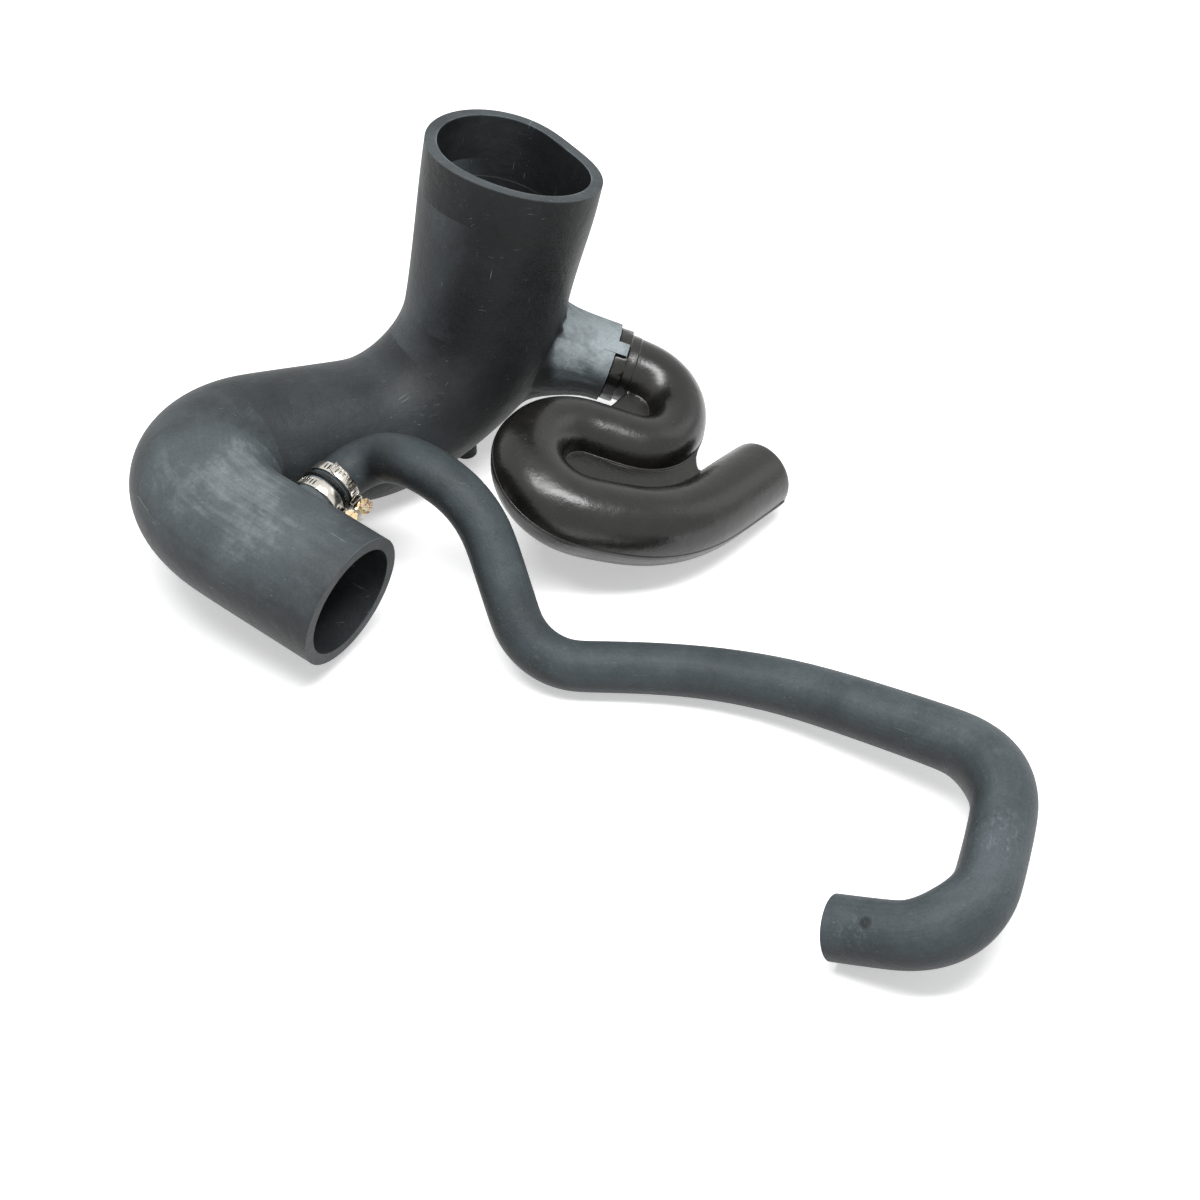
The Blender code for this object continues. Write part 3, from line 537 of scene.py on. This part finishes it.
def wrap_map(piece, route):
    """Write a map of the length along a route and the way round it, in metres. Gives
    the length and the offset from the route for each vertex."""
    lengths = [0.0]
    for before, after in zip(route[:-1], route[1:]):
        lengths.append(lengths[-1] + (after - before).length)
    spans = []
    side = (route[1] - route[0]).orthogonal().normalized()
    for k in range(len(route) - 1):
        forward = (route[k + 1] - route[k]).normalized()
        side = (side - forward * side.dot(forward)).normalized()
        spans.append((route[k], forward, side, forward.cross(side), lengths[k], lengths[k + 1]))
    found = []
    for vertex in piece.data.vertices:
        best = None
        for start, forward, side, lift, low, high in spans:
            along = max(0.0, min(high - low, (vertex.co - start).dot(forward)))
            off = vertex.co - start - forward * along
            if best is None or off.length_squared < best[0]:
                angle = atan2(off.dot(lift), off.dot(side))
                best = (off.length_squared, low + along, angle, off)
        found.append(best[1:])
    layer = piece.data.uv_layers.new(name="wrap")
    for face in piece.data.polygons:
        first = found[piece.data.loops[face.loop_start].vertex_index][1]
        for index in face.loop_indices:
            along, angle, off = found[piece.data.loops[index].vertex_index]
            if angle - first > pi:
                angle -= 2 * pi
            if first - angle > pi:
                angle += 2 * pi
            layer.data[index].uv = (along, angle * WRAP_RADIUS)
    return [(along, off) for along, angle, off in found]


def between(stops, value):
    """The value on a line through (place, amount) stops."""
    if value <= stops[0][0]:
        return stops[0][1]
    for (low, first), (high, second) in zip(stops[:-1], stops[1:]):
        if value <= high:
            return first + (second - first) * (value - low) / (high - low)
    return stops[-1][1]


def smooth_step(t):
    """0 up to 0, 1 from 1 on, with a soft start and end between."""
    t = max(0.0, min(1.0, t))
    return t * t * (3 - 2 * t)


def write_values(piece, name, values):
    """Store one value for each vertex, for the material to read."""
    attribute = piece.data.attributes.new(name, "FLOAT", "POINT")
    attribute.data.foreach_set("value", values)


def duct_bloom_and_highlight(vertex, along, off):
    """How far the duct's skin has bloomed at a spot, outside or in the bore; outside it is partly
    painted highlight over the outlet tube and elbow.
    """
    inside = vertex.normal.dot(off) < 0
    return BORE_BLOOM if inside else between(DUCT_BLOOM_AND_HIGHLIGHT, along)


def duct_left(along, off):
    """How far a spot on the neck faces left."""
    return smooth_step((-off.x / off.length - 0.2) / 0.5) * between(NECK_LEFT, along)


def rounded_route(corners):
    """Points along straight runs and arcs through corners of (point, radius)."""
    route = [corners[0][0]]
    for before, here, after in zip(corners[:-2], corners[1:-1], corners[2:]):
        corner, radius = here
        back = (before[0] - corner).normalized()
        on = (after[0] - corner).normalized()
        angle = back.angle(on)
        centre = corner + (back + on).normalized() * radius / sin(angle / 2)
        start = corner + back * radius / tan(angle / 2) - centre
        axis = back.cross(on).normalized()
        steps = max(2, round(degrees(pi - angle) / ARC_STEP))
        for k in range(steps + 1):
            turn = Matrix.Rotation(-(pi - angle) * k / steps, 3, axis)
            route.append(centre + turn @ start)
    route.append(corners[-1][0])
    return route


def clamp_frame(offset, turn):
    """Place of a clamp: local Z along the joint, local X to the worm."""
    axis = -JOINT_AXIS
    out = (SCREW_DIRECTION - axis * SCREW_DIRECTION.dot(axis)).normalized()
    across = axis.cross(out)
    turned = Matrix((out, across, axis)).transposed().to_4x4()
    place = Matrix.Translation(JOINT_CENTRE + JOINT_AXIS * offset) @ turned
    return place @ Matrix.Rotation(radians(turn), 4, "Z")


def slotted_band(name, place, slotted, tail_end, tail_rise):
    """Clamp strip rolled from a flat grid: slots are cut as holes through the strip,
    then it is wrapped round the joint and given its thickness."""
    around = FULL_TURN + tail_end - BAND_START
    inside = HOSE_RADIUS + CLEARANCE
    length = radians(around) * inside
    columns = 2 * round(length / SLOT_PITCH)
    bpy.ops.mesh.primitive_grid_add(
        x_subdivisions=columns, y_subdivisions=1, size=1.0, location=(0.5, 0, 0)
    )
    strip = bpy.context.object
    strip.name = name
    bpy.ops.object.transform_apply(location=True)
    bm = bmesh.new()
    bm.from_mesh(strip.data)
    slots = []
    for face in list(bm.faces):
        share = face.calc_center_median().x
        column = int(share * columns)
        angle = BAND_START + around * share
        if column % 2 and any(low < angle < high for low, high in slotted):
            slots.append(face)
    slot_end = 0.5 - SLOT_MARGIN / BAND_WIDTH
    for face in slots:
        bmesh.ops.inset_individual(bm, faces=[face], thickness=SLOT_EDGE / length, depth=0.0)
        for vertex in face.verts:
            vertex.co.y = slot_end if vertex.co.y > 0 else -slot_end
    bmesh.ops.delete(bm, geom=slots, context="FACES")
    for vertex in bm.verts:
        angle = BAND_START + around * vertex.co.x
        past_start = angle - FULL_TURN - BAND_START
        lap = max(0.0, min(1.0, (past_start + 2 * LAP_RUN) / LAP_RUN))
        lift = max(0.0, (angle - FULL_TURN - TAIL_START) / (tail_end - TAIL_START))
        radius = inside + (BAND_THICKNESS + CLEARANCE) * smooth_step(lap) + tail_rise * lift**2
        turn = radians(angle)
        spot = Vector((cos(turn) * radius, sin(turn) * radius, vertex.co.y * BAND_WIDTH))
        vertex.co = place @ spot
    bm.to_mesh(strip.data)
    bm.free()
    outward = strip.data.polygons[0].normal
    middle = strip.data.polygons[0].center - place.translation
    if outward.dot(middle) < 0:
        strip.data.flip_normals()
    apply_modifier(strip, "SOLIDIFY", thickness=BAND_THICKNESS, offset=1.0)
    apply_modifier(
        strip, "BEVEL", width=BAND_EDGE, segments=2, limit_method="ANGLE", angle_limit=radians(50)
    )
    choose(strip)
    bpy.ops.object.shade_smooth_by_angle(angle=radians(40))
    return strip


def make_duct():
    """Moulded rubber duct, with its bloom, partly painted highlight, written on the skin."""
    duct = welded_copy("intake_duct", "duct_moulding")
    round_skin(duct, at_stub_root)
    spots = wrap_map(duct, DUCT_ROUTE)
    blooms_and_highlight = [duct_bloom_and_highlight(vertex, *spot) for vertex, spot in zip(duct.data.vertices, spots)]
    write_values(duct, "bloom", blooms_and_highlight)
    write_values(duct, "left", [duct_left(*spot) for spot in spots])
    rubber = bloomed_rubber("moulded_epdm_rubber", DUCT_TONES, duct_bloom_and_painted_light)
    seat(duct, "intake_duct", rubber)


def make_hose():
    """Small moulded hose from the clamped joint to its free end."""
    hose = welded_copy("breather_hose", "breather_moulding")
    round_skin(hose)
    spots = wrap_map(hose, rounded_route(HOSE_CORNERS))
    write_values(hose, "bloom", [between(HOSE_BLOOM, spot[0]) for spot in spots])
    rubber = bloomed_rubber("bloomed_epdm_rubber", HOSE_TONES, hose_rubs_and_painted_shade)
    seat(hose, "breather_hose", rubber)


def make_resonator():
    """Blow-moulded serpentine pipe, its skin eased where the facets met."""
    pipe = welded_copy("resonator_pipe", "resonator_moulding")
    lower_rib(pipe)
    round_skin(pipe)
    apply_modifier(pipe, "SMOOTH", factor=0.5, iterations=8)
    seat(pipe, "resonator_pipe", blown_polyamide())


def make_clamps():
    """Two worm clamps: rolled strips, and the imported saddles, housings and screws."""
    strip_steel = stainless("rolled_stainless_strip", "#dcd8d0", "#bdb8ae", 0.14, 0.26)
    plate_steel = stainless("pressed_stainless_plate", "#d2cdc4", "#aaa498", 0.20, 0.34)
    zinc = yellow_zinc()
    duct_place = clamp_frame(-BAND_OFFSET, DUCT_CLAMP_TURN)
    duct_band = slotted_band("duct_strip", duct_place, ((20, 190),), 12.0, 0.3 * MM)
    seat(duct_band, "duct_clamp_band", strip_steel)
    hose_place = clamp_frame(BAND_OFFSET, 0.0)
    hose_slots = ((28, 44), (300, 382))
    hose_band = slotted_band("hose_strip", hose_place, hose_slots, 24.0, 3.0 * MM)
    seat(hose_band, "hose_clamp_band", strip_steel)
    for clamp in ("duct_clamp", "hose_clamp"):
        dress(nodes[f"{clamp}_saddle"], plate_steel)
        dress(nodes[f"{clamp}_housing"], plate_steel)
        dress(nodes[f"{clamp}_screw"], zinc)


def seen_ray(tree):
    """1 for rays that the eye follows straight, mirrored or through glass."""
    rays = add_node(tree, "LightPath").node.outputs
    seen = rays["Is Camera Ray"]
    for other in ("Is Glossy Ray", "Is Transmission Ray"):
        seen = add_node(tree, "Math", {0: seen, 1: rays[other]}, operation="ADD", use_clamp=True)
    return seen


def white_floor():
    """A pale floor that stays white to the eye and keeps the object's soft shadow."""
    bpy.ops.mesh.primitive_plane_add(size=FLOOR_SIZE, location=(0, 0, -FLOOR_DROP))
    floor = bpy.context.object
    floor.name = "studio_floor"
    material, tree, place = new_material("matt_white_paper")
    tooth = patches(tree, place, 4 * MM, 0.3, 0.7)
    stops = ((0.0, "#f4f4f4"), (1.0, "#fafafa"))
    paper = add_node(tree, "ValToRGB", {"Fac": tooth}, stops=stops)
    matt = add_node(tree, "BsdfPrincipled", {"Base Color": paper, "Roughness": 0.9})
    shown = add_node(tree, "Math", {0: seen_ray(tree), 1: FLOOR_GLOW}, operation="MULTIPLY")
    glow = add_node(tree, "Emission", {"Strength": shown})
    add_node(tree, "OutputMaterial", {"Surface": add_node(tree, "AddShader", {0: matt, 1: glow})})
    dress(floor, material)


def soft_world():
    """White to the eye, a plain soft fill for everything else."""
    world = bpy.data.worlds.new("studio_surround")
    world.use_nodes = True
    bpy.context.scene.world = world
    tree = world.node_tree
    tree.nodes.clear()
    fill = add_node(tree, "Background", {"Color": colour("#f4f6f8"), "Strength": FILL_LIGHT})
    white = add_node(tree, "Background", {"Color": (1, 1, 1, 1), "Strength": 1.0})
    mix = add_node(tree, "MixShader", {0: seen_ray(tree), 1: fill, 2: white})
    add_node(tree, "OutputWorld", {"Surface": mix})


def soft_box(name, place, size, watts):
    """An area lamp, wide and deep by size, that faces the object."""
    lamp = bpy.data.lights.new(name, "AREA")
    lamp.shape = "RECTANGLE"
    lamp.size, lamp.size_y = size
    lamp.energy = watts
    holder = bpy.data.objects.new(name, lamp)
    bpy.context.scene.collection.objects.link(holder)
    holder.location = place
    holder.rotation_euler = (SUBJECT - place).to_track_quat("-Z", "Y").to_euler()


def photo_camera():
    """Camera at the photo's angle, looking down on the object."""
    lens = bpy.data.cameras.new("photo_view")
    lens.sensor_fit = "HORIZONTAL"
    lens.angle = radians(CAMERA_ANGLE)
    camera = bpy.data.objects.new("photo_view", lens)
    bpy.context.scene.collection.objects.link(camera)
    camera.location = CAMERA_PLACE
    camera.rotation_euler = (radians(CAMERA_PITCH), 0.0, 0.0)
    bpy.context.scene.camera = camera


make_duct()
make_hose()
make_resonator()
make_clamps()
dress(nodes["hose_joiner"], joiner_polyamide())

white_floor()
soft_world()
soft_box("overhead_box", Vector((0.05, -0.25, 1.45)), size=(1.4, 0.42), watts=30.0)
soft_box("right_box", Vector((1.4, 0.5, 0.8)), size=(0.8, 0.8), watts=1.5)
photo_camera()
bpy.context.scene.view_settings.view_transform = "Standard"
